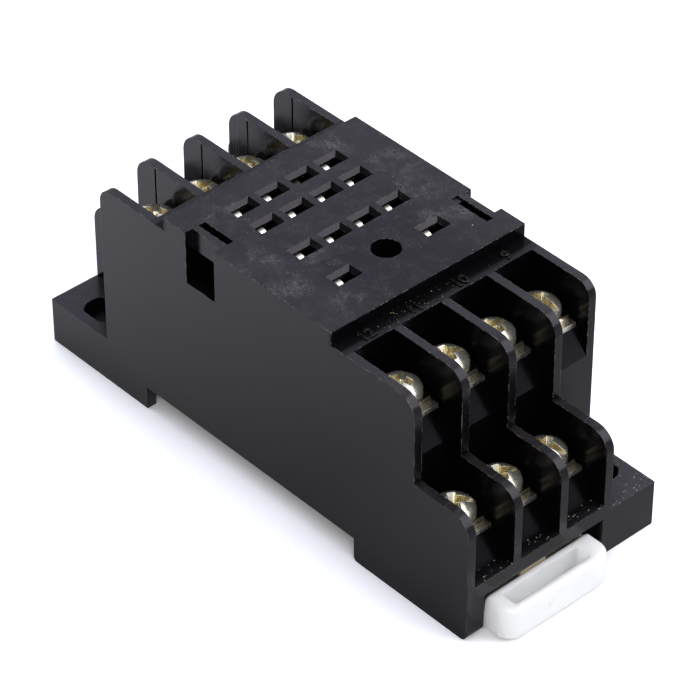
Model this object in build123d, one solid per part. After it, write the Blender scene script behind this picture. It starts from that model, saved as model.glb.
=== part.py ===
from build123d import *
import os

os.makedirs("parts", exist_ok=True)

# Relay socket for a rail or a panel, in millimetres. X runs along the socket, Z is up, and the
# origin lies on the base plane, half way between the two fixing holes.

# Outline and terminal walls
LENGTH = 71.0
HEIGHT = 30.1
BAYS = 4
WALL_PITCH = 6.95
WALL = 1.1
WIDTH = BAYS * WALL_PITCH + WALL
END_X = LENGTH / 2
SIDE_Y = WIDTH / 2

# Steps of each end, from the relay seat outwards
CREST_HALF = 13.9
CREST_STEP = 1.75
STRIP_WIDTH = 2.3
UPPER_DEPTH = 9.0
NOSE = 1.8
NOSE_R = 2.5
EAR_NOSE_R = 2.0
STRIP_Z = HEIGHT - CREST_STEP
BAY_X = CREST_HALF + STRIP_WIDTH
FACE_X = BAY_X + UPPER_DEPTH
NOSE_X = FACE_X + NOSE

# Terminal seats, and the ramp and sill in front of each
UPPER_SEAT_DROP = 8.0
LOWER_SEAT_Z = 10.6
LOWER_WALL_RISE = 6.5
RAMP_RUN = 1.5
UPPER_RAMP_DROP = 3.5
SILL_DROP = 3.3
SILL_RUN = 1.8
UPPER_SEAT_Z = HEIGHT - UPPER_SEAT_DROP
LOWER_WALL_Z = LOWER_SEAT_Z + LOWER_WALL_RISE
SILL_Z = LOWER_SEAT_Z - SILL_DROP

# Narrow slit down one face of each wall beside an upper seat
SLIT_SETBACK = 1.7
SLIT = 0.3
SLIT_DEPTH = 0.3
SLIT_TOP_GAP = 0.2

# Fixing ears
EAR_Z = 6.2
HOLE_SPACING_X = 59.6
HOLE_SPACING_Y = 22.4
HOLE_R = 2.35
HOLE_FLAT = 1.95
EAR_EDGE_Y = WALL_PITCH + WALL / 2

# Rail channel
RAIL_WIDTH = 35.0
RAIL_PLAY = 0.65
RAIL_SHIFT = -0.325
RAIL_DEPTH = 3.2
RAIL_FLANGE = 1.0
FOOT_R = 0.6
TOE_R = 1.0
FLANGE_PLAY = 0.25
BASE_GAP = 0.15
RAIL_X1 = RAIL_SHIFT - (RAIL_WIDTH + RAIL_PLAY) / 2
RAIL_X2 = RAIL_SHIFT + (RAIL_WIDTH + RAIL_PLAY) / 2
LIP_TOP = RAIL_DEPTH - RAIL_FLANGE - FLANGE_PLAY

# Blade slots in the relay seat
PIN_PITCH = 4.4
PIN_COLUMNS = 4
FIRST_ROW_X = -9.45
ROW_STEPS = (4.1, 6.3, 6.4)
SLOT_X = 2.25
SLOT_Y = 3.5
LEAD_IN = 0.5
SLOT_SKIN = 0.9
CELL_X = 2.9
CELL_Y = 3.7
ROWS = [FIRST_ROW_X + sum(ROW_STEPS[:i]) for i in range(len(ROW_STEPS) + 1)]
COLUMNS = [(i - (PIN_COLUMNS - 1) / 2) * PIN_PITCH for i in range(PIN_COLUMNS)]

# Guide hole in the relay seat
GUIDE_X = 6.9
GUIDE_R = 1.77
GUIDE_DEPTH = 8.0

# Hold-down notches for the relay's clip, one in each long side
NOTCH_X1 = 5.3
NOTCH_LENGTH = 4.85
NOTCH_DEPTH = 1.05
NOTCH_HEIGHT = 7.0
CLIP_BAR = 0.9
CLIP_BAR_HEIGHT = 2.7
CLIP_SLOT = 0.95
CLIP_SLOT_SHIFT = 0.7
CLIP_ROOM = 1.9
CLIP_LEDGE = 0.9
CLIP_LEDGE_DEPTH = 0.25

# Contact strip
STRIP = 0.6
BEND = 0.7
LEG_WIDTH = 2.4
PLATE_WIDTH = 5.2
LEG_SETBACK = 0.15
PLATE_START = 1.4
UPPER_RUN_DEPTH = 3.8
LOWER_RUN_DEPTH = 3.1
JOG_START = 1.1
JOG_RUN = 3.8
CELL_GAP = 0.2

# Spring leaves of each contact
LEAF_WIDTH = 1.15
LEAF_GAP = 0.1
LEAF_REACH = 0.95
LEAF_BULGE = 0.5
LEAF_LENGTH = 6.0
LEAF_TIP_DEPTH = 0.95
LEAF_STAGGER = 1.6
CURL_R = 0.45

# Terminal screws and pressure washers
UPPER_SCREW_SETBACK = 4.2
LOWER_SCREW_SETBACK = 3.8
SCREW_R = 1.5
SCREW_LENGTH = 4.6
SCREW_TIP = 0.4
SCREW_CLEAR = 0.05
HEAD_R = 2.5
HEAD_EDGE = 1.3
HEAD_HEIGHT = 2.1
SLOT_WIDTH = 0.8
SLOT_DEPTH = 1.0
CROSS_WIDTH = 0.9
CROSS_SPAN = 3.2
CROSS_DEPTH = 1.5
WASHER = 5.5
WASHER_THICK = 0.9
WASHER_CORNER = 0.8
WASHER_BEVEL = 0.25
SCREW_HOLE_CLEAR = 0.3
COLLAR_WALL = 0.35
COLLAR_DEPTH = 1.0
UPPER_SCREW_X = BAY_X + UPPER_SCREW_SETBACK
LOWER_SCREW_X = FACE_X + LOWER_SCREW_SETBACK

# Base cover
COVER = 1.3
COVER_FIT = 0.1
COVER_SIDE = 1.3
COVER_END_X = 26.6
ROOF_END_X = 28.3
COVER_RIB = 1.2
HOOKS = 3
HOOK_REACH = 1.2
HOOK_ROOT = 0.9
HOOK_WIDTH = 4.0
HOOK_PITCH = 9.5
HOOK_BEVEL = 0.7

# Latch recess in the foot of the +X end
RECESS_Y1 = -11.86
RECESS_Y2 = 6.37
RECESS_Z = 5.35
LATCH_ROOF = 1.0
GROOVE_DEPTH = 1.2
GROOVE_Z1 = 1.6
GROOVE_Z2 = 3.4
GROOVE_END_X = 33.6

# Rail latch, at rest with its lip under the rail
LATCH_GAP = 0.2
LATCH_TRAVEL = 3.0
LATCH_TOP = 4.75
SLIDE_TOP = 3.6
SLIDE_END_GAP = 0.1
LATCH_STEP_X = 32.2
TAB_X = 39.3
TAB_Y2 = 4.3
TAB_CORNER_R = 2.0
LATCH_CORNER_R = 0.9
LATCH_EDGE_R = 0.7
LIP_OVERLAP = 1.2
LIP_Y1 = -9.6
LIP_Y2 = 4.1
LAND_Y1 = -6.1
LAND_Y2 = -2.3
LAND_SETBACK = 0.25
POCKET_X1 = 36.15
POCKET_X2 = 38.3
POCKET_Y1 = -9.9
POCKET_Y2 = 1.6
POCKET_DEPTH = 3.2
POCKET_R = 0.4
WINDOW_X1 = 20.7
WINDOW_Y1 = -6.2
WINDOW_Y2 = 0.7
RUNNER_SETBACK = 0.7
BOW_THICK = 0.8
BOW_FOOT = 1.1
BOW_Z1 = 1.2
BOW_Z2 = 3.4
STOP_X1 = 26.1
STOP_THICK = 1.4
STOP_WIDTH = 3.4
STOP_BOTTOM = 0.8
LATCH_Y1 = RECESS_Y1 + LATCH_GAP
LATCH_Y2 = RECESS_Y2 - LATCH_GAP
STOP_X2 = STOP_X1 + STOP_THICK
WINDOW_X2 = STOP_X2 + LATCH_GAP
BOW_RISE = STOP_X1 - LATCH_TRAVEL - LATCH_GAP - WINDOW_X1

NEAR = 1
FAR = -1
# Number, end, step, bay, row and column of each terminal, counted along +Y and +X
TERMINALS = [
    (12, NEAR, "upper", 0, 3, 0),
    (11, NEAR, "upper", 1, 2, 1),
    (10, NEAR, "upper", 2, 2, 2),
    (9, NEAR, "upper", 3, 3, 3),
    (14, NEAR, "lower", 0, 2, 0),
    (13, NEAR, "lower", 1, 1, 1),
    (4, NEAR, "lower", 2, 2, 3),
    (8, FAR, "upper", 0, 0, 0),
    (7, FAR, "upper", 1, 0, 1),
    (6, FAR, "upper", 2, 0, 2),
    (5, FAR, "upper", 3, 0, 3),
    (3, FAR, "lower", 1, 1, 0),
    (2, FAR, "lower", 2, 1, 2),
    (1, FAR, "lower", 3, 1, 3),
]
SEAT_Z = {"upper": UPPER_SEAT_Z, "lower": LOWER_SEAT_Z}
BACK_X = {"upper": BAY_X, "lower": FACE_X}
SCREW_X = {"upper": UPPER_SCREW_X, "lower": LOWER_SCREW_X}
RUN_Z = {"upper": UPPER_SEAT_Z - UPPER_RUN_DEPTH, "lower": LOWER_SEAT_Z - LOWER_RUN_DEPTH}
FRONT_X = {"upper": FACE_X - RAMP_RUN, "lower": END_X - SILL_RUN - RAMP_RUN}


def block(x, y, z):
    """Box between the two values given for each axis."""
    size = [b - a for a, b in (x, y, z)]
    middle = [(a + b) / 2 for a, b in (x, y, z)]
    return Pos(*middle) * Box(*size)


def across(corners, y1, y2, radii=0):
    """Solid with an X-Z outline, from y1 to y2. radii rounds the corners, one value each."""
    outline = make_face(FilletPolyline(*corners, radius=radii, close=True))
    return extrude(Plane.XZ.offset(-y1) * outline, amount=y1 - y2)


def upright(corners, z1, z2, radii=0):
    """Solid with an X-Y outline, from z1 up to z2."""
    outline = make_face(FilletPolyline(*corners, radius=radii, close=True))
    return extrude(Plane.XY.offset(z1) * outline, amount=z2 - z1)


def turned(solid):
    """The same solid at the opposite end of the socket."""
    return Rot(0, 0, 180) * solid


def bay_y(bay):
    return (bay - (BAYS - 1) / 2) * WALL_PITCH


def tall_wall(y):
    """Wall between two bays, which follows both steps, with a rounded nose on each and a slit."""
    corners = [
        (CREST_HALF, EAR_Z),
        (CREST_HALF, STRIP_Z),
        (NOSE_X, STRIP_Z),
        (NOSE_X, LOWER_WALL_Z),
        (END_X, LOWER_WALL_Z),
        (END_X, EAR_Z),
    ]
    wall = across(corners, y - WALL / 2, y + WALL / 2, [0, 0, NOSE_R, 0, NOSE_R, 0])
    slit_x, slit_y = FACE_X - SLIT_SETBACK, y + WALL / 2 - SLIT_DEPTH
    slit_z = (UPPER_SEAT_Z, STRIP_Z - SLIT_TOP_GAP)
    return wall - block((slit_x, slit_x + SLIT), (slit_y, slit_y + WALL), slit_z)


def ear_wall(y):
    """Outer wall beside the ear, which ends at the face of the upper step."""
    corners = [(CREST_HALF, EAR_Z), (CREST_HALF, STRIP_Z), (FACE_X, STRIP_Z), (FACE_X, EAR_Z)]
    return across(corners, y - WALL / 2, y + WALL / 2, [0, 0, EAR_NOSE_R, 0])


def upper_step():
    """Block under the four upper seats, with the ramp down to its face."""
    corners = [
        (0, 0),
        (0, UPPER_SEAT_Z),
        (FRONT_X["upper"], UPPER_SEAT_Z),
        (FACE_X, UPPER_SEAT_Z - UPPER_RAMP_DROP),
        (FACE_X, 0),
    ]
    return across(corners, -SIDE_Y, SIDE_Y)


def lower_step():
    """Block under the three lower seats, with a ramp and a sill at the end face."""
    corners = [
        (FACE_X, 0),
        (FACE_X, LOWER_SEAT_Z),
        (FRONT_X["lower"], LOWER_SEAT_Z),
        (END_X - SILL_RUN, SILL_Z),
        (END_X, SILL_Z),
        (END_X, 0),
    ]
    return across(corners, -SIDE_Y, EAR_EDGE_Y)


def ear():
    return block((FACE_X, END_X), (EAR_EDGE_Y - WALL, SIDE_Y), (0, EAR_Z))


def ear_hole():
    """Fixing hole, flattened on the side that faces the edge."""
    x, y = HOLE_SPACING_X / 2, HOLE_SPACING_Y / 2
    hole = Circle(HOLE_R) - Pos(0, HOLE_FLAT + HOLE_R) * Rectangle(2 * HOLE_R, 2 * HOLE_R)
    return Pos(x, y, -1) * extrude(hole, amount=EAR_Z + 2)


def terminal_end():
    """Everything outside the relay seat at one end, made for the +X end."""
    end = upper_step() + lower_step() + ear()
    for wall in range(BAYS):
        end += tall_wall((wall - BAYS / 2) * WALL_PITCH)
    end += ear_wall(BAYS / 2 * WALL_PITCH)
    return end - ear_hole()


def relay_seat():
    """Middle block with the raised seat and the strip for the numbers on each side of it."""
    corners = [
        (-BAY_X, 0),
        (-BAY_X, STRIP_Z),
        (-CREST_HALF, STRIP_Z),
        (-CREST_HALF, HEIGHT),
        (CREST_HALF, HEIGHT),
        (CREST_HALF, STRIP_Z),
        (BAY_X, STRIP_Z),
        (BAY_X, 0),
    ]
    return across(corners, -SIDE_Y, SIDE_Y)


def hold_down_notch(slot_shift):
    """Room for the relay's clip at the +Y side: a notch, a bar, a slot, and a window under the bar."""
    x1, x2 = NOTCH_X1, NOTCH_X1 + NOTCH_LENGTH
    bottom, top = HEIGHT - NOTCH_HEIGHT, HEIGHT + 1
    notch_y = SIDE_Y - NOTCH_DEPTH
    slot_y = (notch_y - CLIP_BAR - CLIP_SLOT, notch_y - CLIP_BAR)
    cut = block((x1, x2), (notch_y, SIDE_Y + 1), (bottom, top))
    cut += block((x1 + slot_shift, x2 + slot_shift), slot_y, (bottom, top))
    return cut + block((x1, x2), (slot_y[0] - CLIP_ROOM, SIDE_Y + 1), (bottom, HEIGHT - CLIP_BAR_HEIGHT))


def slot_ledge():
    """Shallow ledge at the end of the shifted slot."""
    x2 = NOTCH_X1 + CLIP_SLOT_SHIFT
    y2 = SIDE_Y - NOTCH_DEPTH - CLIP_BAR
    return block((x2 - CLIP_LEDGE, x2), (y2 - CLIP_SLOT, y2), (HEIGHT - CLIP_LEDGE_DEPTH, HEIGHT + 1))


def blade_slot(x, y):
    """Slot for one relay blade, with a lead-in round its mouth and a cell for the leaves below."""
    plane = Pos(x, y, HEIGHT - LEAD_IN)
    throat = Rectangle(SLOT_X - 2 * LEAD_IN, SLOT_Y - 2 * LEAD_IN)
    mouth = Pos(x, y, HEIGHT) * Rectangle(SLOT_X, SLOT_Y)
    slot = loft([plane * throat, mouth])
    slot += extrude(plane * throat, amount=-SLOT_SKIN)
    cell_x, cell_y = (x - CELL_X / 2, x + CELL_X / 2), (y - CELL_Y / 2, y + CELL_Y / 2)
    return slot + block(cell_x, cell_y, (RAIL_DEPTH, HEIGHT - SLOT_SKIN))


def leg_x(step):
    return BACK_X[step] + LEG_SETBACK + STRIP / 2


def jog_x(step):
    return leg_x(step) - JOG_START


def run_outline(end, step, bay, row, column, grow=0):
    """X-Y corners of the strip's level run, from its leg to its blade slot, with a sideways jog."""
    half = LEG_WIDTH / 2 + grow
    y1, y2 = bay_y(bay), COLUMNS[column]
    xs = [
        end * (leg_x(step) + STRIP / 2 + grow),
        end * jog_x(step),
        end * (jog_x(step) - JOG_RUN),
        ROWS[row] - end * (STRIP / 2 + grow),
    ]
    ys = [y1, y1, y2, y2]
    below = [(x, y - half) for x, y in zip(xs, ys)]
    above = [(x, y + half) for x, y in zip(xs, ys)]
    return below + above[::-1]


def contact_cell(end, step, bay, row, column):
    """Room for one contact, open to the base, with the slot that its leg takes through the seat."""
    outline = run_outline(end, step, bay, row, column, CELL_GAP)
    cell = upright(outline, RAIL_DEPTH, RUN_Z[step] + STRIP / 2 + CELL_GAP)
    half = LEG_WIDTH / 2 + CELL_GAP
    slot_x = sorted((end * BACK_X[step], end * (leg_x(step) + BEND)))
    slot_y = (bay_y(bay) - half, bay_y(bay) + half)
    return cell + block(slot_x, slot_y, (RUN_Z[step], SEAT_Z[step] + STRIP))


def screw_hole(end, step, bay):
    """Blind hole under a seat, clear of the screw and of the collar round its thread."""
    depth = SCREW_LENGTH - STRIP - WASHER_THICK + SCREW_HOLE_CLEAR
    hole = extrude(Circle(SCREW_R + SCREW_HOLE_CLEAR), amount=-depth)
    collar = Circle(SCREW_R + COLLAR_WALL + SCREW_HOLE_CLEAR)
    hole += extrude(collar, amount=-COLLAR_DEPTH - SCREW_HOLE_CLEAR)
    return Pos(end * SCREW_X[step], bay_y(bay), SEAT_Z[step]) * hole


def cover_pocket():
    """Room for the base cover, which is let in from below."""
    inner = SIDE_Y - COVER_SIDE
    top = RAIL_DEPTH + COVER
    pocket = block((-COVER_END_X, RAIL_X2), (-inner, inner), (0, top))
    roof = block((RAIL_X2 - COVER_RIB, ROOF_END_X), (RECESS_Y1, RECESS_Y2), (0, RECESS_Z + LATCH_ROOF))
    return pocket + roof


def latch_recess():
    """Guide for the latch in the +X foot, open to the end and below, with a groove on each side."""
    recess = block((RAIL_X2, END_X), (RECESS_Y1, RECESS_Y2), (0, RECESS_Z))
    groove_y = (RECESS_Y1 - GROOVE_DEPTH, RECESS_Y2 + GROOVE_DEPTH)
    return recess + block((RAIL_X2, GROOVE_END_X), groove_y, (GROOVE_Z1, GROOVE_Z2))


def edges_at(solid, x, z):
    """Edges of the solid that run along Y at one X and Z."""
    lines = solid.edges().filter_by(Axis.Y)
    return lines.filter_by(lambda e: abs(e.center().X - x) < 0.01 and abs(e.center().Z - z) < 0.01)


def housing():
    body = relay_seat() + terminal_end() + turned(terminal_end())
    body -= block((RAIL_X1, RAIL_X2), (-SIDE_Y, SIDE_Y), (0, RAIL_DEPTH))
    body = fillet(edges_at(body, RAIL_X2, 0), FOOT_R)
    body -= cover_pocket() + latch_recess()
    body = fillet(edges_at(body, END_X, 0).sort_by(Axis.Y)[0], TOE_R)
    body -= hold_down_notch(CLIP_SLOT_SHIFT) + slot_ledge() + turned(hold_down_notch(0))
    for number, end, step, bay, row, column in TERMINALS:
        body -= contact_cell(end, step, bay, row, column)
        body -= blade_slot(ROWS[row], COLUMNS[column])
        body -= screw_hole(end, step, bay)
    return body - Pos(GUIDE_X, 0, HEIGHT) * extrude(Circle(GUIDE_R), amount=-GUIDE_DEPTH)


def bent_strip(corners, y, width, radii):
    """Metal strip whose middle line follows X-Z corners, rounded to the radii."""
    path = FilletPolyline(*[(x, y, z) for x, z in corners], radius=radii)
    section = Plane(origin=path @ 0, x_dir=(0, 1, 0), z_dir=path % 0) * Rectangle(width, STRIP)
    return sweep(section, path)


def spring_leaf(x, y, side, foot_z, tip_z):
    """Leaf that bulges to one side, comes back to the blade and curls over at its tip."""
    near = x + side * LEAF_GAP
    corners = [
        (x, foot_z),
        (x + side * LEAF_BULGE, (foot_z + tip_z) / 2),
        (near, tip_z - STRIP / 2),
        (near + side * LEAF_REACH, tip_z - STRIP / 2),
    ]
    return bent_strip(corners, y, LEAF_WIDTH, [CURL_R, CURL_R])


def contact(end, step, bay, row, column):
    """Stamped strip: terminal plate, leg through the seat, level run, riser and two leaves."""
    y1, y2 = bay_y(bay), COLUMNS[column]
    plate_z = SEAT_Z[step] + STRIP / 2
    run_z = RUN_Z[step]
    start = end * (BACK_X[step] + PLATE_START)
    leg = end * leg_x(step)
    jog = end * jog_x(step)
    jog_end = end * (jog_x(step) - JOG_RUN)
    row_x = ROWS[row]
    down = [(start, plate_z), (leg, plate_z), (leg, run_z), (jog, run_z)]
    strip = bent_strip(down, y1, LEG_WIDTH, [BEND, BEND])
    half = LEG_WIDTH / 2
    corners = [(jog, y1 - half), (jog, y1 + half), (jog_end, y2 + half), (jog_end, y2 - half)]
    strip += upright(corners, run_z - STRIP / 2, run_z + STRIP / 2)
    top_z = HEIGHT - LEAF_TIP_DEPTH
    split_z = top_z - LEAF_LENGTH
    strip += bent_strip([(jog_end, run_z), (row_x, run_z), (row_x, split_z)], y2, LEG_WIDTH, [BEND])
    leaf_y = (LEG_WIDTH - LEAF_WIDTH) / 2
    strip += spring_leaf(row_x, y2 - leaf_y, -1, split_z, top_z)
    strip += spring_leaf(row_x, y2 + leaf_y, 1, split_z, top_z - LEAF_STAGGER)
    return strip + terminal_plate(end, step, y1)


def terminal_plate(end, step, y):
    """Plate under the washer, with a drawn and tapped collar below."""
    z = SEAT_Z[step]
    xs = sorted((end * (BACK_X[step] + PLATE_START), end * FRONT_X[step]))
    plate = block(xs, (y - PLATE_WIDTH / 2, y + PLATE_WIDTH / 2), (z, z + STRIP))
    place = Pos(end * SCREW_X[step], y, z)
    plate += place * extrude(Circle(SCREW_R + COLLAR_WALL), amount=-COLLAR_DEPTH)
    bore = extrude(Circle(SCREW_R + SCREW_CLEAR), amount=STRIP + COLLAR_DEPTH + 2)
    return plate - place * Pos(0, 0, -COLLAR_DEPTH - 1) * bore


def washer(x, y, z):
    """Square pressure washer with rounded corners and a bevelled top."""
    sheet = RectangleRounded(WASHER, WASHER, WASHER_CORNER) - Circle(SCREW_R + SCREW_CLEAR)
    plate = extrude(sheet, amount=WASHER_THICK)
    rim = plate.faces().sort_by(Axis.Z)[-1].outer_wire().edges()
    return Pos(x, y, z) * chamfer(rim, WASHER_BEVEL)


def screw(x, y, z):
    """Pan-head screw with a combined slot and cross, standing on the underside of its head."""
    rise = HEAD_HEIGHT - HEAD_EDGE
    dome_r = (HEAD_R**2 + rise**2) / (2 * rise)
    head = extrude(Circle(HEAD_R), amount=HEAD_HEIGHT) & Pos(0, 0, HEAD_HEIGHT - dome_r) * Sphere(dome_r)
    slot = block((-HEAD_R, HEAD_R), (-SLOT_WIDTH / 2, SLOT_WIDTH / 2), (0, HEAD_HEIGHT))
    head -= Pos(0, 0, HEAD_HEIGHT - SLOT_DEPTH) * slot
    cross = Rectangle(CROSS_SPAN, CROSS_WIDTH) + Rectangle(CROSS_WIDTH, CROSS_SPAN)
    head -= Pos(0, 0, HEAD_HEIGHT) * extrude(cross, amount=-CROSS_DEPTH)
    shank = extrude(Circle(SCREW_R), amount=-SCREW_LENGTH)
    shank = chamfer(shank.faces().sort_by(Axis.Z)[0].edges(), SCREW_TIP)
    return Pos(x, y, z) * (head + shank)


def rail_lip(tip_x, root_x, y1, y2):
    """Lip under the rail's flange, bevelled so that the rail pushes it aside."""
    inward = 1 if tip_x < root_x else -1
    corners = [
        (root_x, BASE_GAP),
        (tip_x + inward * HOOK_BEVEL, BASE_GAP),
        (tip_x, BASE_GAP + HOOK_BEVEL),
        (tip_x, LIP_TOP),
        (root_x, LIP_TOP),
    ]
    return across(corners, y1, y2)


def cover_foot():
    """Ribbed foot of the base cover with the fixed hooks for the rail."""
    inner = SIDE_Y - COVER_SIDE - COVER_FIT
    x1, x2 = -COVER_END_X + COVER_FIT, RAIL_X1 - HOOK_ROOT
    foot = block((x1, x2), (-inner, inner), (BASE_GAP, RAIL_DEPTH))
    bay = (2 * inner - (HOOKS + 2) * COVER_RIB) / (HOOKS + 1)
    for i in range(HOOKS + 1):
        y1 = -inner + COVER_RIB + i * (bay + COVER_RIB)
        foot -= block((x1 + COVER_RIB, x2 - COVER_RIB), (y1, y1 + bay), (BASE_GAP, RAIL_DEPTH))
    for i in range(HOOKS):
        middle = (i - (HOOKS - 1) / 2) * HOOK_PITCH
        y1, y2 = middle - HOOK_WIDTH / 2, middle + HOOK_WIDTH / 2
        foot += rail_lip(RAIL_X1 + HOOK_REACH, x2 - COVER_RIB, y1, y2)
        foot += block((x2 - COVER_RIB, RAIL_X1), (y1, y2), (LIP_TOP, RAIL_DEPTH))
    return foot


def base_cover():
    """Cover under the contacts: the rail channel's ceiling, the fixed hooks and the latch's roof."""
    inner = SIDE_Y - COVER_SIDE - COVER_FIT
    top = RAIL_DEPTH + COVER
    cover = block((-COVER_END_X + COVER_FIT, RAIL_X2 - COVER_FIT), (-inner, inner), (RAIL_DEPTH, top))
    cover += cover_foot()
    roof_y = (RECESS_Y1 + COVER_FIT, RECESS_Y2 - COVER_FIT)
    roof_z = RECESS_Z + LATCH_ROOF
    cover += block((RAIL_X2 - COVER_RIB + COVER_FIT, RAIL_X2), roof_y, (RAIL_DEPTH, roof_z))
    cover += block((RAIL_X2 - COVER_RIB + COVER_FIT, ROOF_END_X - COVER_FIT), roof_y, (RECESS_Z, roof_z))
    middle = (WINDOW_Y1 + WINDOW_Y2) / 2
    stop_y = (middle - STOP_WIDTH / 2, middle + STOP_WIDTH / 2)
    return cover + block((STOP_X1, STOP_X2), stop_y, (STOP_BOTTOM, RECESS_Z))


def latch_body():
    """Body between the guide's walls and the narrower tab, with soft edges."""
    corners = [
        (RAIL_X2 + 2 * LATCH_GAP, LATCH_Y1),
        (TAB_X, LATCH_Y1),
        (TAB_X, TAB_Y2),
        (LATCH_STEP_X, TAB_Y2),
        (LATCH_STEP_X, LATCH_Y2),
        (RAIL_X2 + 2 * LATCH_GAP, LATCH_Y2),
    ]
    small, tab = LATCH_CORNER_R, TAB_CORNER_R
    body = upright(corners, BASE_GAP, LATCH_TOP, [small, tab, tab, small, small, small])
    rims = body.edges().group_by(Axis.Z)
    return fillet(rims[0] + rims[-1], LATCH_EDGE_R)


def latch_bow():
    """Spring bow across the latch's window. It stands clear of the stop over the whole travel."""
    middle = (WINDOW_Y1 + WINDOW_Y2) / 2
    root, crest = WINDOW_X1, WINDOW_X1 + BOW_RISE
    y1, y2 = WINDOW_Y1, WINDOW_Y2
    outer = ThreePointArc((root, y1), (crest, middle), (root, y2))
    inner = ThreePointArc((root, y2 - BOW_FOOT), (crest - BOW_THICK, middle), (root, y1 + BOW_FOOT))
    ends = [Line(outer @ 1, inner @ 0), Line(inner @ 1, outer @ 0)]
    return extrude(Plane.XY.offset(BOW_Z1) * make_face([outer, inner, *ends]), amount=BOW_Z2 - BOW_Z1)


def latch_runner(y_from, y_to):
    """Rib along one side of the latch, which runs in a groove of the housing."""
    x2 = GROOVE_END_X - LATCH_TRAVEL - 2 * LATCH_GAP
    x1 = RAIL_X2 + 2 * LATCH_GAP + RUNNER_SETBACK
    return block((x1, x2), sorted((y_from, y_to)), (GROOVE_Z1 + LATCH_GAP, GROOVE_Z2 - LATCH_GAP))


def rail_latch():
    """Sliding latch: lip, low slide with window, bow, runners and land, and tab with tool pocket."""
    latch = latch_body()
    latch -= block((0, END_X - SLIDE_END_GAP), (-SIDE_Y, SIDE_Y), (SLIDE_TOP, LATCH_TOP + 1))
    land_x = (WINDOW_X2, END_X - LAND_SETBACK)
    latch += block(land_x, (LAND_Y1, LAND_Y2), (SLIDE_TOP - WALL, RECESS_Z - LATCH_GAP))
    pocket = [(POCKET_X1, POCKET_Y1), (POCKET_X2, POCKET_Y1), (POCKET_X2, POCKET_Y2), (POCKET_X1, POCKET_Y2)]
    latch -= upright(pocket, LATCH_TOP - POCKET_DEPTH, LATCH_TOP, POCKET_R)
    latch -= block((WINDOW_X1, WINDOW_X2), (WINDOW_Y1, WINDOW_Y2), (BASE_GAP, LATCH_TOP))
    latch += latch_bow()
    latch += rail_lip(RAIL_X2 - LIP_OVERLAP, RAIL_X2 + LIP_OVERLAP, LIP_Y1, LIP_Y2)
    side = GROOVE_DEPTH
    latch += latch_runner(LATCH_Y1 - side, LATCH_Y1 + WALL)
    return latch + latch_runner(LATCH_Y2 - WALL, LATCH_Y2 + side)


def save(name, solid):
    export_step(solid, f"parts/{name}.step")


save("housing", housing())
save("base_cover", base_cover())
save("rail_latch", rail_latch())
for number, end, step, bay, row, column in TERMINALS:
    x, y, z = end * SCREW_X[step], bay_y(bay), SEAT_Z[step] + STRIP
    save(f"contact_{number:02d}", contact(end, step, bay, row, column))
    save(f"washer_{number:02d}", washer(x, y, z))
    save(f"screw_{number:02d}", screw(x, y, z + WASHER_THICK))
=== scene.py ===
import math

import bmesh
import bpy
from mathutils import Matrix, Vector


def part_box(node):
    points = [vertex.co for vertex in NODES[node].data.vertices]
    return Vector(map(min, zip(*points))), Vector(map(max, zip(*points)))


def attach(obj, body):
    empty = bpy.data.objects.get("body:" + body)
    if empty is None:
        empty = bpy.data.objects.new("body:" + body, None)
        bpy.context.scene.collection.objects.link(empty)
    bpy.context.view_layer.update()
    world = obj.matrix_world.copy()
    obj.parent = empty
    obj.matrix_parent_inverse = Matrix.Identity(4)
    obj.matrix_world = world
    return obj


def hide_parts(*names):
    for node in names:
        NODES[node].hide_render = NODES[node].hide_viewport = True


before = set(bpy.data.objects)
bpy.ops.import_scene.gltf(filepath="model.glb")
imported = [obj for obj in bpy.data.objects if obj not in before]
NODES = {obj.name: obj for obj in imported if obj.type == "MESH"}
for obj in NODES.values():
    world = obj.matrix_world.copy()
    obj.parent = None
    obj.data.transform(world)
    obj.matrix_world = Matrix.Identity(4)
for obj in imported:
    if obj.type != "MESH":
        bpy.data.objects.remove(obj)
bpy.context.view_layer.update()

MM = 0.001

# Camera, fitted to the photograph
CAMERA_PLACE = (0.2399, -0.21768, 0.27214)
CAMERA_TILT = math.radians(51.2)
CAMERA_TURN = math.radians(47.658)
CAMERA_LENS = 187.7
CAMERA_SENSOR = 36.0

# Studio: direction, distance, side, power and colour of each softbox
TOP_LIGHT = ((0.54, 0.54, 0.66), 0.62, 0.50, 2.0, (1.0, 0.985, 0.97))
BACK_LIGHT = ((-0.60, 0.52, 0.60), 0.62, 0.50, 0.39, (0.84, 0.80, 1.0))
FRONT_LIGHT = ((0.52, -0.56, 0.64), 0.65, 0.36, 1.85, (1.0, 0.99, 0.97))
SKY_COLOR = (0.84, 0.88, 1.0)
# The surround grows stronger along an axis: between which two shares of it, and from what to what
SKY_AXIS = (0.55, 0.76, 0.35)
SKY_FADE = (-0.5, 0.7)
SKY_STRENGTH = (0.10, 0.66)

# Floor: side in metres, gap below the part in millimetres, and its own colour. The camera sees a
# glow, in the open and near the part, darkened near the part as a painted shadow. Glossy faces see
# a duller floor whose glow has a tint, each changing along X between two places in millimetres, as
# a painted reflection that is brighter towards -X and duller towards +X
FLOOR_SIZE = 3.0
FLOOR_GAP = 0.02
FLOOR_COLOR = 0.88
FLOOR_DULL = 0.55
FLOOR_DULL_SPAN = (20, 45)
FLOOR_OPEN = (0.63, 0.655, 0.74, 1.0)
FLOOR_SHADED = (0.03, 0.02, 0.02, 1.0)
FLOOR_SHADE_REACH = 10.0
FLOOR_SHADE_SPAN = (0.33, 0.74)
FLOOR_MIRRORED = (0.48, 0.0)
FLOOR_MIRROR_SPAN = (-60, 5)
FLOOR_MIRROR_TINT = (0.97, 0.93, 1.0, 1.0)

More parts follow.
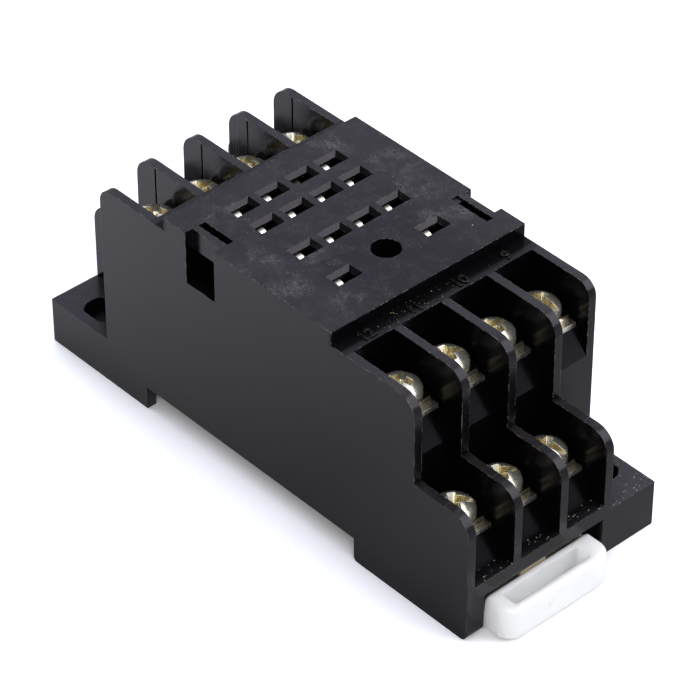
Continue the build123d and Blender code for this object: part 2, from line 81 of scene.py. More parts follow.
# Marked numbers, from -Y to +Y, on the strip at each end
NEAR_NUMBERS = ("12", "11", "10", "9")
FAR_NUMBERS = ("8", "7", "6", "5")
NUMBER_BASELINE_X = 15.75
NUMBER_SIZE = 2.05
NUMBER_RISE = 0.13
NUMBER_RIM = 0.05

# Places on the housing that its finish follows, in millimetres
TOP_Z = 30.1
STRIP_Z = 28.35
STRIP_X = 14.9
EAR_Z = 6.2
SEAM_X = 31.7
SEAM_Z = 17.1
CREST_X = 13.9
FACE_X = 35.3
SIDE_Y = 14.3

# Scuffed places on the housing's top: X, Y and radius
SCUFFED_SPOTS = (
    (4.8, -12.6, 3.0),
    (2.7, -7.0, 3.4),
    (-0.4, -11.7, 3.0),
    (-9.6, -9.1, 3.0),
    (11.0, -9.1, 2.4),
    (-4.3, 11.4, 4.0),
    (0.8, 9.3, 4.0),
    (5.9, 8.0, 3.0),
    (8.4, 12.1, 3.0),
    (-11.7, 8.5, 3.4),
)

# Smudges on the latch, each with its radius, and dark flecks
LATCH_SMUDGES = (
    ((39.3, -5.6, 2.8), 1.1),
    ((37.8, -11.6, 0.4), 1.8),
    ((36.2, 3.2, 0.4), 1.2),
)
LATCH_FLECKS = (
    (38.05, -6.5, 4.75),
    (36.2, -3.9, 4.75),
    (36.5, -4.6, 4.75),
    (38.9, 1.6, 4.75),
)
FLECK_R = 0.13

# Finishes of plated metal: bright and dull colour, least and most roughness, and edge radius
WASHER_PLATING = ((0.62, 0.56, 0.41, 1), (0.34, 0.28, 0.17, 1), 0.10, 0.22, 0.14)
BRASS_PLATING = ((0.93, 0.90, 0.80, 1), (0.82, 0.74, 0.56, 1), 0.24, 0.40, 0.12)
DARKENED_PLATING = ((0.05, 0.045, 0.035, 1), (0.02, 0.016, 0.012, 1), 0.40, 0.60, 0.12)

# The contact painted nearly black all over, so that its spring tip doesn't show in its slot
DARKENED_CONTACT = "contact_06"

# Detailed terminal screws
HEAD_R = 2.5
HEAD_FOOT = 0.12
HEAD_SIDE = 0.7
HEAD_SHOULDER = 0.7
HEAD_HEIGHT = 2.1
HEAD_STEPS = 72
RECESS_RIM = 0.11
SLOT_WIDTH = 0.95
SLOT_FOOT_WIDTH = 0.85 * SLOT_WIDTH
SLOT_DEPTH = 1.05
CROSS_SPAN = 3.3
CROSS_WIDTH = 1.1
CROSS_FOOT_SPAN = 1.3
CROSS_FOOT_WIDTH = 0.5
CROSS_DEPTH = 1.6
CUT_PAST = 0.2
SHARP_EDGE = 35
SHARP_SHADING = 32
THREAD_R = 1.48
THREAD_ROOT_R = 1.15
THREAD_PITCH = 0.6
THREAD_LENGTH = 4.4
THREAD_STEPS = 24
# How far each screw has been turned, in degrees
SCREW_TURNS = {
    12: 119, 11: 77, 10: 95, 9: 11,
    14: 61, 13: 72, 4: 21,
    8: 130, 7: 92, 6: 110, 5: 60,
    3: 80, 2: 25, 1: 55,
}


class Shader:
    """Node tree of one material, built up by short calls."""

    def __init__(self, name):
        self.material = bpy.data.materials.new(name)
        self.material.use_nodes = True
        self.tree = self.material.node_tree
        self.surface = self.tree.nodes["Principled BSDF"]
        self.place = self.node("ShaderNodeTexCoord").outputs["Object"]

    def feed(self, socket, value):
        if isinstance(value, bpy.types.NodeSocket):
            self.tree.links.new(value, socket)
        else:
            socket.default_value = value

    def node(self, kind, inputs=None, **settings):
        made = self.tree.nodes.new(kind)
        for key, value in settings.items():
            setattr(made, key, value)
        for key, value in (inputs or {}).items():
            self.feed(made.inputs[key], value)
        return made

    def finish(self, **sockets):
        for key, value in sockets.items():
            self.feed(self.surface.inputs[key.replace("_", " ")], value)
        return self.material

    def math(self, kind, a, b=0.0):
        return self.node("ShaderNodeMath", {0: a, 1: b}, operation=kind).outputs[0]

    def stretch(self, scale, turn=(0, 0, 0)):
        """Coordinates scaled by one value for each axis, after a turn."""
        turned = self.node("ShaderNodeMapping", {"Vector": self.place, "Rotation": turn}).outputs[0]
        return self.node("ShaderNodeMapping", {"Vector": turned, "Scale": scale}).outputs[0]

    def noise(self, scale, detail=3.0, rough=0.55, vector=None):
        inputs = {"Vector": vector or self.place, "Scale": scale}
        inputs.update({"Detail": detail, "Roughness": rough})
        return self.node("ShaderNodeTexNoise", inputs).outputs["Fac"]

    def ramp(self, value, low, high, out_low=0.0, out_high=1.0):
        inputs = {"Value": value, "From Min": low, "From Max": high}
        inputs.update({"To Min": out_low, "To Max": out_high})
        return self.node("ShaderNodeMapRange", inputs, clamp=True).outputs[0]

    def mix(self, share, first, second):
        made = self.node("ShaderNodeMix", data_type="RGBA")
        self.feed(made.inputs[0], share)
        self.feed(made.inputs[6], first)
        self.feed(made.inputs[7], second)
        return made.outputs[2]

    def specks(self, scale, size, share):
        """Small round specks, one at most in each cell, in only a share of the cells."""
        cells = self.node("ShaderNodeTexVoronoi", {"Vector": self.place, "Scale": scale})
        picked = self.node("ShaderNodeSeparateColor", {"Color": cells.outputs["Color"]})
        radius = self.math("MULTIPLY", picked.outputs["Green"], size)
        inside = self.math("SUBTRACT", radius, cells.outputs["Distance"])
        kept = self.math("LESS_THAN", picked.outputs["Red"], share)
        return self.math("MULTIPLY", self.ramp(inside, 0.0, size * 0.2), kept)

    def lines(self, turn, across, along, width):
        """Fine parallel scratches, broken up along their length."""
        streaks = self.noise(1.0, 2.0, 0.5, self.stretch((along, across, across), turn))
        off = self.math("ABSOLUTE", self.math("SUBTRACT", streaks, 0.5))
        return self.ramp(off, 0.0, width, 1.0, 0.0)

    def near(self, point, radius):
        """One at a point given in millimetres, fading to zero at the radius."""
        vectors = {0: self.place, 1: [v * MM for v in point]}
        distance = self.node("ShaderNodeVectorMath", vectors, operation="DISTANCE").outputs["Value"]
        return self.ramp(distance, 0.0, radius * MM, 1.0, 0.0)

    def band(self, value, middle, half, soft):
        """One where the value lies within half of the middle, in millimetres, with soft ends."""
        off = self.math("ABSOLUTE", self.math("SUBTRACT", value, middle * MM))
        return self.ramp(off, half * MM, (half + soft) * MM, 1.0, 0.0)

    def most(self, *values):
        top = values[0]
        for value in values[1:]:
            top = self.math("MAXIMUM", top, value)
        return top

    def product(self, *values):
        whole = values[0]
        for value in values[1:]:
            whole = self.math("MULTIPLY", whole, value)
        return whole

    def open_air(self, reach, samples):
        """Share of the sky that a point would see if only things within reach stood in the way."""
        inputs = {"Distance": reach * MM}
        return self.node("ShaderNodeAmbientOcclusion", inputs, samples=samples).outputs["AO"]

    def soft_edges(self, radius):
        return self.node("ShaderNodeBevel", {"Radius": radius * MM}, samples=6).outputs["Normal"]

    def bump(self, height, strength, distance, normal=None):
        inputs = {"Height": height, "Strength": strength, "Distance": distance * MM}
        if normal:
            inputs["Normal"] = normal
        return self.node("ShaderNodeBump", inputs).outputs["Normal"]

    def edge_bend(self, radius):
        """One on flat faces, and less the more a face turns within the radius."""
        flat = self.node("ShaderNodeNewGeometry").outputs["Normal"]
        vectors = {0: self.soft_edges(radius), 1: flat}
        return self.node("ShaderNodeVectorMath", vectors, operation="DOT_PRODUCT").outputs["Value"]

    def axes(self):
        return self.node("ShaderNodeSeparateXYZ", {"Vector": self.place}).outputs

    def facing(self):
        """Direction that the surface faces, axis by axis."""
        flat = self.node("ShaderNodeNewGeometry").outputs["Normal"]
        return self.node("ShaderNodeSeparateXYZ", {"Vector": flat}).outputs


def grey(value):
    return (value, value, value, 1.0)


def convex_edges(s, radius):
    """One along outer edges, zero on flats and in inner corners."""
    turned = s.ramp(s.edge_bend(radius), 0.80, 0.985, 1.0, 0.0)
    return s.product(turned, s.ramp(s.open_air(0.5, 4), 0.80, 0.97))


class Housing:
    """Coordinates and places on the housing that the parts of its finish have in common."""

    def __init__(self, s):
        self.x, self.y, self.z = s.axes()
        self.facing = s.facing()
        self.width = s.math("ABSOLUTE", self.y)
        self.length = s.math("ABSOLUTE", self.x)
        self.level = s.ramp(self.facing["Z"], 0.6, 0.9)
        self.top = s.product(s.ramp(self.z, 29.0 * MM, 30.0 * MM), self.level)
        self.ear_top = s.product(s.band(self.z, EAR_Z, 0.1, 0.05), self.level)
        # Share of sky seen within 8 mm, which paints shade into the hollows
        self.open_share = s.ramp(s.open_air(8.0, 6), 0.45, 0.90)
        spots = [s.near((x, y, TOP_Z), radius) for x, y, radius in SCUFFED_SPOTS]
        self.scuffed = s.most(*spots)


def haze_and_shade(s, at):
    """Pale dirt, patchy on level faces; with painted shade that keeps hollows and the step dark,
    and painted light higher up the sides.
    """
    wiped = s.ramp(at.width, 6.0 * MM, 11.0 * MM, 1.0, 0.0)
    wiped = s.product(s.ramp(at.x, -9.0 * MM, 4.0 * MM), wiped, at.top)
    patches = s.ramp(s.noise(150.0, 4.0, 0.65), 0.30, 0.70, 0.45, 1.0)
    fine = s.ramp(s.noise(3000.0, 5.0, 0.75), 0.35, 0.65, 0.45, 1.0)
    on_level = s.product(at.level, s.ramp(at.z, 8 * MM, 29 * MM, 1.0, 0.55))
    # Painted light: on the sides it grows paler higher up
    on_sides = s.ramp(at.z, 5 * MM, 28 * MM, 0.03, 0.12)
    on_sides = s.product(s.ramp(s.noise(110.0, 3.0), 0.35, 0.65), on_sides)
    film_and_shade = s.product(patches, fine, s.ramp(wiped, 0.0, 1.0, 1.0, 0.10))
    # Painted shade: it thins out where a point sees little sky, so hollows stay dark
    film_and_shade = s.product(film_and_shade, s.most(on_level, on_sides), at.open_share)
    # Painted shade: little of it on the step below the top and the strip beside it
    film_and_shade = s.product(film_and_shade, s.ramp(s.band(at.length, 15.0, 1.2, 0.05), 0.0, 1.0, 1.0, 0.15))
    film_and_shade = s.product(film_and_shade, s.ramp(s.band(at.z, STRIP_Z, 0.2, 0.1), 0.0, 1.0, 1.0, 1.7))
    on_ears = s.ramp(s.noise(900.0, 5.0, 0.7), 0.3, 0.7, 0.55, 0.95)
    return s.most(film_and_shade, s.product(at.ear_top, on_ears))


def rubbed_patches(s, at):
    """Cloudy patches where the top has been rubbed."""
    cloudy = s.ramp(s.noise(650.0, 6.0, 0.8), 0.47, 0.64)
    return s.product(cloudy, s.ramp(at.scuffed, 0.0, 0.9), at.top)


def scratches(s, at):
    """Fine scratches in three directions on top, densest at the scuffed places."""
    strokes = s.most(
        s.lines((0, 0, 0.5), 4200.0, 420.0, 0.020),
        s.lines((0, 0, -0.9), 4800.0, 520.0, 0.018),
        s.lines((0, 0, 1.7), 3600.0, 600.0, 0.016),
    )
    dense = s.ramp(at.scuffed, 0.0, 0.6, 0.25, 1.0)
    return s.product(strokes, s.ramp(s.noise(520.0, 3.0), 0.46, 0.60), dense, at.top)


def brass_dust(s, at):
    """Grains of brass on the near strip, heaped round a place off its middle."""
    strip = s.product(s.band(at.x, STRIP_X, 0.9, 0.4), s.band(at.z, STRIP_Z, 0.2, 0.1))
    heap_off = s.math("ABSOLUTE", s.math("ADD", at.y, 3.0 * MM))
    heap = s.ramp(heap_off, 2.0 * MM, 8.0 * MM, 1.0, 0.18)
    dusty = s.math("MULTIPLY", s.ramp(s.noise(420.0, 2.0), 0.36, 0.60, 0.45, 0.95), heap)
    grit = s.most(s.specks(4600.0, 0.32, 0.5), s.specks(2900.0, 0.22, 0.2))
    return s.product(s.math("LESS_THAN", s.noise(9000.0, 0.0), dusty), grit, strip)


def grey_dust(s, at):
    """Dust on level faces, and crumbs on the sills in front of the lower bays."""
    sill = s.product(s.ramp(at.z, 8 * MM, 11 * MM, 1.0, 0.0), s.ramp(at.x, 28 * MM, 31 * MM))
    sill = s.product(sill, at.level)
    crumbs = s.product(s.specks(3000.0, 0.40, 0.75), s.ramp(s.noise(420.0, 2.0), 0.36, 0.48), sill)
    dust = s.most(s.specks(900.0, 0.07, 0.05), s.specks(2900.0, 0.20, 0.08))
    clear_ears = s.ramp(at.ear_top, 0.0, 1.0, 1.0, 0.3)
    dust = s.product(dust, s.ramp(s.noise(300.0, 2.0), 0.45, 0.58), at.level, clear_ears)
    return s.most(dust, crumbs)


def mould_lines(s, at):
    """Joint of the mould on the lower walls' tops, and lines drawn down one far wall."""
    joint = s.product(s.band(at.length, SEAM_X, 0.03, 0.05), s.band(at.z, SEAM_Z, 0.1, 0.05))
    joint = s.product(joint, at.level)
    drawn = s.noise(1.0, 2.0, 0.6, s.stretch((4200.0, 10.0, 70.0)))
    place = s.product(s.band(at.y, 6.4, 0.1, 0.05), s.band(at.x, -25.0, 2.0, 0.3))
    return joint, s.product(s.ramp(drawn, 0.52, 0.60), place)


def plastic_shine(s, at):
    """Specular level, cut down as painted shade: less in the near bays and on their walls, on the
    step below the top, and in hollows and low on the sides.
    """
    in_bays = s.ramp(at.x, (CREST_X - 0.2) * MM, CREST_X * MM)
    in_bays = s.product(in_bays, s.ramp(at.x, (FACE_X - 0.3) * MM, FACE_X * MM, 1.0, 0.0))
    in_bays = s.product(in_bays, s.ramp(at.width, (SIDE_Y - 0.3) * MM, SIDE_Y * MM, 1.0, 0.0))
    outside = s.ramp(at.width, (SIDE_Y - 0.3) * MM, SIDE_Y * MM)
    # Painted shade: reflections fade where a point sees little sky
    hollow_shade = s.ramp(at.open_share, 0.0, 1.0, 0.92, 0.0)
    dimmed = s.product(s.most(in_bays, s.product(outside, 0.4)), hollow_shade)
    walls = s.product(in_bays, s.ramp(s.math("ABSOLUTE", at.facing["Y"]), 0.7, 0.95, 0.0, 0.90))
    step = s.product(s.band(at.length, 14.5, 0.7, 0.4), s.band(at.z, 29.1, 0.85, 0.03), 0.75)
    return s.ramp(s.most(dimmed, walls, step), 0.0, 1.0, 0.33, 0.0)


def black_plastic():
    """Moulded black plastic: glossy skin, worn pale edges, hazy scuffs on top, dust, and painted
    shade in its hollows and bays.
    """
    s = Shader("black_plastic")
    at = Housing(s)
    film_and_shade = haze_and_shade(s, at)
    rubbed = rubbed_patches(s, at)
    strokes = scratches(s, at)
    worn = s.ramp(s.noise(1500.0, 4.0, 0.7), 0.51, 0.60)
    worn = s.product(convex_edges(s, 0.16), worn, s.ramp(at.z, 15 * MM, 17 * MM, 0.4, 1.0))
    gold_dust = brass_dust(s, at)
    gold = s.ramp(s.noise(1700.0, 1.0), 0.4, 0.6)
    gold = s.mix(gold, (0.30, 0.30, 0.26, 1.0), (0.42, 0.33, 0.14, 1.0))
    dust = grey_dust(s, at)
    lint = s.product(s.specks(400.0, 0.05, 0.14), at.top)
    joint, drawn = mould_lines(s, at)

    color = s.mix(film_and_shade, (0.0016, 0.0015, 0.0020, 1.0), (0.045, 0.041, 0.044, 1.0))
    color = s.mix(s.product(rubbed, 0.38), color, (0.10, 0.095, 0.097, 1.0))
    color = s.mix(s.product(strokes, 0.7), color, grey(0.22))
    color = s.mix(s.product(s.most(joint, drawn), 0.3), color, grey(0.10))
    color = s.mix(s.product(worn, 0.8), color, (0.34, 0.27, 0.235, 1.0))
    color = s.mix(s.product(s.most(dust, lint), 0.8), color, (0.36, 0.34, 0.30, 1.0))
    color = s.mix(gold_dust, color, gold)

    rough = s.ramp(s.noise(700.0, 4.0), 0.3, 0.8, 0.16, 0.23)
    rough = s.math("ADD", rough, s.product(at.level, 0.07))
    rough = s.math("ADD", rough, s.product(rubbed, 0.2))

    waves = s.bump(s.noise(90.0, 2.0), 0.22, 0.05, s.soft_edges(0.04))
    grain = s.bump(s.noise(4200.0, 3.0, 0.6), 0.16, 0.008, waves)
    marks = s.math("ADD", s.math("ADD", strokes, dust), drawn)
    normal = s.bump(marks, 0.25, 0.010, grain)

    # Bluish tint painted into the reflections
    s.surface.inputs["Specular Tint"].default_value = (0.93, 0.88, 1.0, 1.0)
    shine = plastic_shine(s, at)
    return s.finish(Base_Color=color, Roughness=rough, Normal=normal, Specular_IOR_Level=shine)


def white_plastic():
    """Milky latch plastic: light passes well into it, with small marks, and brown dirt with painted
    shade in the guide.
    """
    s = Shader("white_plastic")
    x, y, z = s.axes()
    clouds = s.noise(240.0, 4.0)
    color = s.mix(s.ramp(clouds, 0.35, 0.7), (0.94, 0.945, 0.94, 1.0), (0.97, 0.97, 0.96, 1.0))
    rim = s.product(s.band(x, 38.3, 0.06, 0.08), s.band(y, -4.4, 5.2, 0.4))
    rim = s.product(rim, s.ramp(z, 4.3 * MM, 4.6 * MM), s.ramp(s.noise(900.0, 3.0), 0.35, 0.55))
    smudge = s.most(*[s.near(point, radius) for point, radius in LATCH_SMUDGES])
    stain = s.product(smudge, s.ramp(s.noise(1200.0, 5.0, 0.7), 0.42, 0.60), 0.55)
    color = s.mix(s.most(stain, s.product(rim, 0.5)), color, (0.80, 0.68, 0.44, 1.0))
    flecks = [s.ramp(s.near(point, FLECK_R), 0.0, 0.6, 0.0, 0.6) for point in LATCH_FLECKS]
    flecks = s.most(*flecks)
    flecks = s.most(flecks, s.product(s.specks(1300.0, 0.10, 0.05), 0.6))
    color = s.mix(flecks, color, (0.30, 0.25, 0.20, 1.0))
    # Painted shade with dirt: brown inside the guide under the housing, darkest low down
    guide = s.ramp(x, 33.2 * MM, 34.4 * MM, 0.25, 1.0)
    guide = s.product(guide, s.ramp(x, 35.35 * MM, 35.50 * MM, 1.0, 0.0))
    dirt_and_shade = s.mix(s.ramp(z, 4.2 * MM, 4.6 * MM), (0.10, 0.075, 0.05, 1.0), (0.50, 0.39, 0.25, 1.0))
    color = s.mix(s.product(guide, s.ramp(z, 2.6 * MM, 3.4 * MM)), color, dirt_and_shade)
    rough = s.ramp(s.noise(1200.0, 4.0), 0.3, 0.7, 0.34, 0.48)
    waves = s.bump(s.noise(130.0, 2.0), 0.2, 0.06, s.soft_edges(0.12))
    normal = s.bump(s.noise(4200.0, 3.0), 0.15, 0.010, waves)
    s.surface.inputs["Subsurface Radius"].default_value = (1.0, 0.97, 0.90)
    s.surface.inputs["Subsurface Scale"].default_value = 3.0 * MM
    s.surface.inputs["Subsurface Weight"].default_value = 1.0
    return s.finish(Base_Color=color, Roughness=rough, Normal=normal)


def plated_metal(name, bright, dull, rough_low, rough_high, edge):
    """Plated metal with stamping marks, a grainy skin and tarnish in patches."""
    s = Shader(name)
    tarnish = s.ramp(s.noise(900.0, 5.0, 0.7), 0.45, 0.75)
    grains = s.noise(4200.0, 3.0, 0.6)
    color = s.mix(s.math("MULTIPLY", tarnish, 0.5), bright, dull)
    spots = s.math("MULTIPLY", s.specks(2600.0, 0.14, 0.06), 0.6)
    color = s.mix(spots, color, (0.16, 0.11, 0.06, 1.0))
    uneven = s.math("ADD", grains, s.math("MULTIPLY", tarnish, 0.4))
    rough = s.ramp(uneven, 0.3, 1.0, rough_low, rough_high)
    brushed = s.noise(1.0, 2.0, 0.5, s.stretch((900.0, 9000.0, 9000.0), (0, 0, 0.4)))
    drawn = s.bump(brushed, 0.06, 0.01, s.soft_edges(edge))
    normal = s.bump(grains, 0.14, 0.010, drawn)
    s.surface.inputs["Metallic"].default_value = 1.0
    return s.finish(Base_Color=color, Roughness=rough, Normal=normal)


def screw_metal():
    """Yellow-plated screw: pale outside, with a deeper gold painted on the recess walls as the
    light bouncing inside the recess.
    """
    s = Shader("plated_steel")
    x, y, z = s.axes()
    across = s.node("ShaderNodeCombineXYZ", {0: x, 1: y}).outputs[0]
    radius = s.node("ShaderNodeVectorMath", {0: across}, operation="LENGTH").outputs["Value"]
    within = s.ramp(radius, 2.0 * MM, 2.3 * MM, 1.0, 0.0)
    steep = s.ramp(s.math("ABSOLUTE", s.facing()["Z"]), 0.45, 0.75, 1.0, 0.0)
    deep = s.ramp(z, 0.8 * MM, 1.25 * MM, 1.0, 0.0)
    # Painted reflection: deeper gold on the recess walls
    recess = s.math("MULTIPLY", s.math("MAXIMUM", steep, deep), within)
    cloud = s.ramp(s.noise(700.0, 4.0, 0.6), 0.35, 0.7)
    pale = s.mix(cloud, (0.97, 0.94, 0.84, 1.0), (0.86, 0.81, 0.66, 1.0))
    streaks = s.noise(1.0, 2.0, 0.5, s.stretch((2600.0, 2600.0, 500.0)))
    gold = s.mix(streaks, (0.90, 0.81, 0.54, 1.0), (0.60, 0.51, 0.27, 1.0))
    color = s.mix(recess, pale, gold)
    spots = s.math("MULTIPLY", s.specks(1500.0, 0.10, 0.04), 0.4)
    color = s.mix(spots, color, (0.22, 0.15, 0.08, 1.0))
    rough = s.ramp(s.noise(1100.0, 3.0), 0.3, 0.7, 0.22, 0.34)
    normal = s.bump(s.noise(900.0, 2.0), 0.16, 0.012, s.soft_edges(0.09))
    s.surface.inputs["Metallic"].default_value = 0.86
    return s.finish(Base_Color=color, Roughness=rough, Normal=normal)


def paint(obj, material):
    obj.data.materials.clear()
    obj.data.materials.append(material)


def paint_nodes():
    """Gives every carried-over node its finish."""
    housing = black_plastic()
    washer = plated_metal("plated_washer", *WASHER_PLATING)
    brass = plated_metal("plated_brass", *BRASS_PLATING)
    darkened = plated_metal("darkened_brass", *DARKENED_PLATING)
    paint(NODES["housing"], housing)
    paint(NODES["base_cover"], housing)
    paint(NODES["rail_latch"], white_plastic())
    for name, node in NODES.items():
        if name == DARKENED_CONTACT:
            paint(node, darkened)
        elif name.startswith("contact_"):
            paint(node, brass)
        elif name.startswith("washer_"):
            paint(node, washer)


def new_object(name, mesh):
    made = bpy.data.objects.new(name, mesh)
    bpy.context.scene.collection.objects.link(made)
    return made


def baked(obj):
    """Mesh of the object with its modifiers applied. The object is removed."""
    bpy.context.view_layer.update()
    mesh = bpy.data.meshes.new_from_object(obj.evaluated_get(bpy.context.evaluated_depsgraph_get()))
    bpy.data.objects.remove(obj)
    return mesh


def shade_by_angle(mesh, degrees):
    mesh.polygons.foreach_set("use_smooth", [True] * len(mesh.polygons))
    mesh.set_sharp_from_angle(angle=math.radians(degrees))


def number_plastic():
    """Black plastic of the raised numbers, with a painted highlight along their rims."""
    s = Shader("number_plastic")
    # Painted highlight: pale along the rims, broken by noise
    rims = s.ramp(s.edge_bend(0.09), 0.88, 0.99, 1.0, 0.0)
    rims = s.product(rims, s.ramp(s.noise(2500.0, 2.0), 0.30, 0.50))
    color = s.mix(rims, (0.0012, 0.0012, 0.0014, 1.0), (0.34, 0.32, 0.31, 1.0))
    s.surface.inputs["Specular IOR Level"].default_value = 0.12
    rough = s.ramp(s.noise(700.0, 4.0), 0.3, 0.8, 0.18, 0.26)
    return s.finish(Base_Color=color, Roughness=rough)


def number(text, end, plastic):
    """Raised number on the strip, in line with its terminal and read from the end it stands at."""
    low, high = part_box(f"washer_{int(text):02d}")
    middle_y = (low.y + high.y) / 2
    curve = bpy.data.curves.new(f"number_{text}", "FONT")
    curve.body = text
    curve.size = NUMBER_SIZE * MM
    curve.align_x = "CENTER"
    curve.extrude = NUMBER_RISE * MM
    curve.bevel_depth = NUMBER_RIM * MM
    curve.bevel_resolution = 1
    source = new_object("number_source", curve)
    made = new_object(f"number_{text}", baked(source))
    place = (end * NUMBER_BASELINE_X * MM, middle_y, STRIP_Z * MM)
    made.matrix_world = Matrix.Translation(place) @ Matrix.Rotation(end * math.pi / 2, 4, "Z")
    paint(made, plastic)
    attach(made, "socket")


def head_profile():
    """Half outline of the pan head, from its rim underneath to the crown."""
    points = [(0.0, 0.0), (HEAD_R - HEAD_FOOT, 0.0), (HEAD_R, HEAD_FOOT), (HEAD_R, HEAD_SIDE)]
    for i in range(1, 7):
        a = math.radians(i * 10)
        inwards = HEAD_SHOULDER * (1 - math.cos(a))
        points.append((HEAD_R - inwards, HEAD_SIDE + HEAD_SHOULDER * math.sin(a)))
    start_r, start_z = points[-1]
    for i in range(1, 11):
        r = start_r * (1 - i / 10)
        rise = (HEAD_HEIGHT - start_z) * (1 - (r / start_r) ** 2)
        points.append((r, start_z + rise))
    return points


def around(r, angle, z):
    """Point at a radius, an angle about Z and a height, from millimetres to metres."""
    return (r * MM * math.cos(angle), r * MM * math.sin(angle), z * MM)


def turned_mesh(name, points, steps):
    """Mesh of revolution about Z, from points of radius and height that start and end on it."""
    bm = bmesh.new()
    rings = []
    for r, z in points:
        if r < 1e-6:
            rings.append([bm.verts.new((0, 0, z * MM))])
        else:
            ring = []
            for i in range(steps):
                a = 2 * math.pi * i / steps
                ring.append(bm.verts.new(around(r, a, z)))
            rings.append(ring)
    for low, high in zip(rings, rings[1:]):
        for i in range(steps):
            j = (i + 1) % steps
            if len(low) == 1:
                bm.faces.new((low[0], high[j], high[i]))
            elif len(high) == 1:
                bm.faces.new((low[i], low[j], high[0]))
            else:
                bm.faces.new((low[i], low[j], high[j], high[i]))
    bmesh.ops.recalc_face_normals(bm, faces=bm.faces)
    mesh = bpy.data.meshes.new(name)
    bm.to_mesh(mesh)
    bm.free()
    return mesh


def tapered_bar(bm, span, width, foot_span, foot_width, depth, turn):
    """Bar that narrows downwards from above the crown, for cutting one arm of the recess."""
    top = HEAD_HEIGHT + CUT_PAST
    corners = []
    for z, l, w in ((top, span, width), (HEAD_HEIGHT - depth, foot_span, foot_width)):
        for u, v in ((-l, -w), (l, -w), (l, w), (-l, w)):
            point = Matrix.Rotation(turn, 3, "Z") @ Vector((u / 2, v / 2, z))
            corners.append(bm.verts.new(point * MM))
    bm.faces.new(corners[0:4])
    bm.faces.new(corners[4:8][::-1])
    for i in range(4):
        j = (i + 1) % 4
        bm.faces.new((corners[i], corners[i + 4], corners[j + 4], corners[j]))
    bmesh.ops.recalc_face_normals(bm, faces=bm.faces)


def cutter(name, bar):
    bm = bmesh.new()
    tapered_bar(bm, *bar)
    mesh = bpy.data.meshes.new(name)
    bm.to_mesh(mesh)
    bm.free()
    return new_object(name, mesh)


def screw_head():
    """Pan head with a slot right across it, a tapered cross recess and broken rims."""
    head = new_object("head_source", turned_mesh("head_source", head_profile(), HEAD_STEPS))
    wide = 3 * HEAD_R
    arm = (CROSS_SPAN, CROSS_WIDTH, CROSS_FOOT_SPAN, CROSS_FOOT_WIDTH, CROSS_DEPTH)
    cuts = [
        cutter("slot_cut", (wide, SLOT_WIDTH, wide, SLOT_FOOT_WIDTH, SLOT_DEPTH, 0.0)),
        cutter("arm_cut_1", (*arm, 0.0)),
        cutter("arm_cut_2", (*arm, math.pi / 2)),
    ]
    for cut in cuts:
        boolean = head.modifiers.new("cut", "BOOLEAN")
        boolean.object = cut
        boolean.operation = "DIFFERENCE"
        boolean.solver = "EXACT"
    rims = head.modifiers.new("rims", "BEVEL")
    rims.width = RECESS_RIM * MM
    rims.segments = 2
    rims.limit_method = "ANGLE"
    rims.angle_limit = math.radians(SHARP_EDGE)
    mesh = baked(head)
    for cut in cuts:
        bpy.data.objects.remove(cut)
    return mesh


def screw_thread():
    """Helical thread below the head, as a strip of crests and roots wound down the shank."""
    turns = THREAD_LENGTH / THREAD_PITCH
    count = int(turns * THREAD_STEPS)
    bm = bmesh.new()
    roots, crests = [], []
    for i in range(count + 1):
        a = 2 * math.pi * i / THREAD_STEPS
        z = -THREAD_PITCH * i / THREAD_STEPS
        fade = min(1.0, (count - i) / THREAD_STEPS)
        crest_r = THREAD_ROOT_R + (THREAD_R - THREAD_ROOT_R) * fade
        roots.append(bm.verts.new(around(THREAD_ROOT_R, a, z)))
        crests.append(bm.verts.new(around(crest_r, a, z - THREAD_PITCH / 2)))
    for i in range(count):
        bm.faces.new((roots[i], crests[i], crests[i + 1], roots[i + 1]))
        below = i + THREAD_STEPS
        if below <= count - 1:
            bm.faces.new((crests[i], roots[below], roots[below + 1], crests[i + 1]))
    bm.faces.new([crests[i] for i in range(count - THREAD_STEPS + 1, count + 1)])
    bmesh.ops.recalc_face_normals(bm, faces=bm.faces)
    mesh = bpy.data.meshes.new("screw_thread")
    bm.to_mesh(mesh)
    bm.free()
    return mesh


def screw_mesh():
    bm = bmesh.new()
    bm.from_mesh(screw_head())
    bm.from_mesh(screw_thread())
    mesh = bpy.data.meshes.new("terminal_screw")
    bm.to_mesh(mesh)
    bm.free()
    shade_by_angle(mesh, SHARP_SHADING)
    return mesh


def terminal_screws():
    """Detailed screws, each in its node's place and turned as far as it was driven."""
    shape = screw_mesh()
    steel = screw_metal()
    for terminal, turn in SCREW_TURNS.items():
        node = f"screw_{terminal:02d}"
        low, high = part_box(node)
        made = new_object(f"terminal_screw_{terminal:02d}", shape.copy())
        place = ((low.x + high.x) / 2, (low.y + high.y) / 2, high.z - HEAD_HEIGHT * MM)
        made.matrix_world = Matrix.Translation(place) @ Matrix.Rotation(math.radians(turn), 4, "Z")
        paint(made, steel)
        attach(made, "socket")
        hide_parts(node)


def softbox(name, light):
    direction, distance, side, power, color = light
    lamp = bpy.data.lights.new(name, "AREA")
    lamp.shape = "SQUARE"
    lamp.size = side
    lamp.energy = power
    lamp.color = color
    made = new_object(name, lamp)
    away = Vector(direction).normalized()
    made.location = away * distance
    made.rotation_euler = away.to_track_quat("Z", "Y").to_euler()


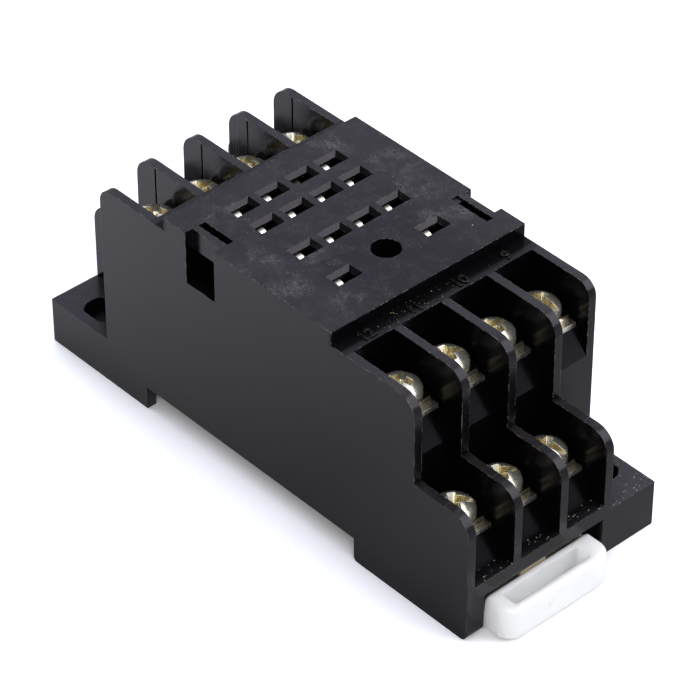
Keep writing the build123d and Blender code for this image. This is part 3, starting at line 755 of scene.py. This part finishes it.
def floor():
    """Pale floor whose own colour reads as white to the camera and in reflections, with a painted
    shadow near the part and a painted reflection that changes along X.
    """
    mesh = bpy.data.meshes.new("floor")
    half = FLOOR_SIZE / 2
    corners = [(-half, -half, 0), (half, -half, 0), (half, half, 0), (-half, half, 0)]
    mesh.from_pydata(corners, [], [(0, 1, 2, 3)])
    made = new_object("floor", mesh)
    made.location.z = -FLOOR_GAP * MM
    s = Shader("floor")
    s.surface.inputs["Roughness"].default_value = 0.9
    s.surface.inputs["Specular IOR Level"].default_value = 0.1
    path = s.node("ShaderNodeLightPath").outputs
    mirrored = s.math("MAXIMUM", path["Is Glossy Ray"], path["Is Transmission Ray"])
    x = s.axes()["X"]
    # Painted reflection: glossy faces see the floor duller towards +X and glowing brighter towards
    # -X
    dull_from, dull_to = FLOOR_DULL_SPAN
    dull = s.math("MULTIPLY", mirrored, s.ramp(x, dull_from * MM, dull_to * MM))
    glow_from, glow_to = FLOOR_MIRROR_SPAN
    glow = s.ramp(x, glow_from * MM, glow_to * MM, *FLOOR_MIRRORED)
    # Painted shadow: the glow the camera sees is darker where the floor sees less sky near the part
    shade_from, shade_to = FLOOR_SHADE_SPAN
    inputs = {"Value": s.open_air(FLOOR_SHADE_REACH, 8)}
    inputs.update({"From Min": shade_from, "From Max": shade_to})
    clear = s.node("ShaderNodeMapRange", inputs, interpolation_type="SMOOTHSTEP").outputs[0]
    shade = s.mix(clear, FLOOR_SHADED, FLOOR_OPEN)
    color = s.mix(path["Is Camera Ray"], FLOOR_MIRROR_TINT, shade)
    strength = s.math("MAXIMUM", path["Is Camera Ray"], s.math("MULTIPLY", mirrored, glow))
    base = s.mix(dull, grey(FLOOR_COLOR), grey(FLOOR_DULL))
    s.finish(Base_Color=base, Emission_Color=color, Emission_Strength=strength)
    mesh.materials.append(s.material)


def sky():
    """White backdrop to the camera, and a dimmer surround that fades towards the front left."""
    world = bpy.data.worlds.new("studio")
    world.use_nodes = True
    bpy.context.scene.world = world
    nodes, links = world.node_tree.nodes, world.node_tree.links
    background = nodes["Background"]
    background.inputs["Color"].default_value = (*SKY_COLOR, 1)
    along = nodes.new("ShaderNodeVectorMath")
    along.operation = "DOT_PRODUCT"
    along.inputs[1].default_value = SKY_AXIS
    links.new(nodes.new("ShaderNodeTexCoord").outputs["Generated"], along.inputs[0])
    fade = nodes.new("ShaderNodeMapRange")
    links.new(along.outputs["Value"], fade.inputs["Value"])
    ends = ("From Min", "From Max", "To Min", "To Max")
    for name, value in zip(ends, (*SKY_FADE, *SKY_STRENGTH)):
        fade.inputs[name].default_value = value
    strength = nodes.new("ShaderNodeMapRange")
    links.new(nodes.new("ShaderNodeLightPath").outputs["Is Camera Ray"], strength.inputs["Value"])
    links.new(fade.outputs[0], strength.inputs["To Min"])
    strength.inputs["To Max"].default_value = 1.0
    links.new(strength.outputs[0], background.inputs["Strength"])


def camera():
    data = bpy.data.cameras.new("camera")
    data.lens = CAMERA_LENS
    data.sensor_width = CAMERA_SENSOR
    data.clip_start = 0.01
    data.clip_end = 10.0
    made = new_object("camera", data)
    made.location = CAMERA_PLACE
    made.rotation_euler = (CAMERA_TILT, 0, CAMERA_TURN)
    bpy.context.scene.camera = made


bpy.context.scene.view_settings.view_transform = "Standard"
camera()
sky()
softbox("top_light", TOP_LIGHT)
softbox("back_light", BACK_LIGHT)
softbox("front_light", FRONT_LIGHT)
floor()
paint_nodes()
plastic = number_plastic()
for text in NEAR_NUMBERS:
    number(text, 1, plastic)
for text in FAR_NUMBERS:
    number(text, -1, plastic)
terminal_screws()
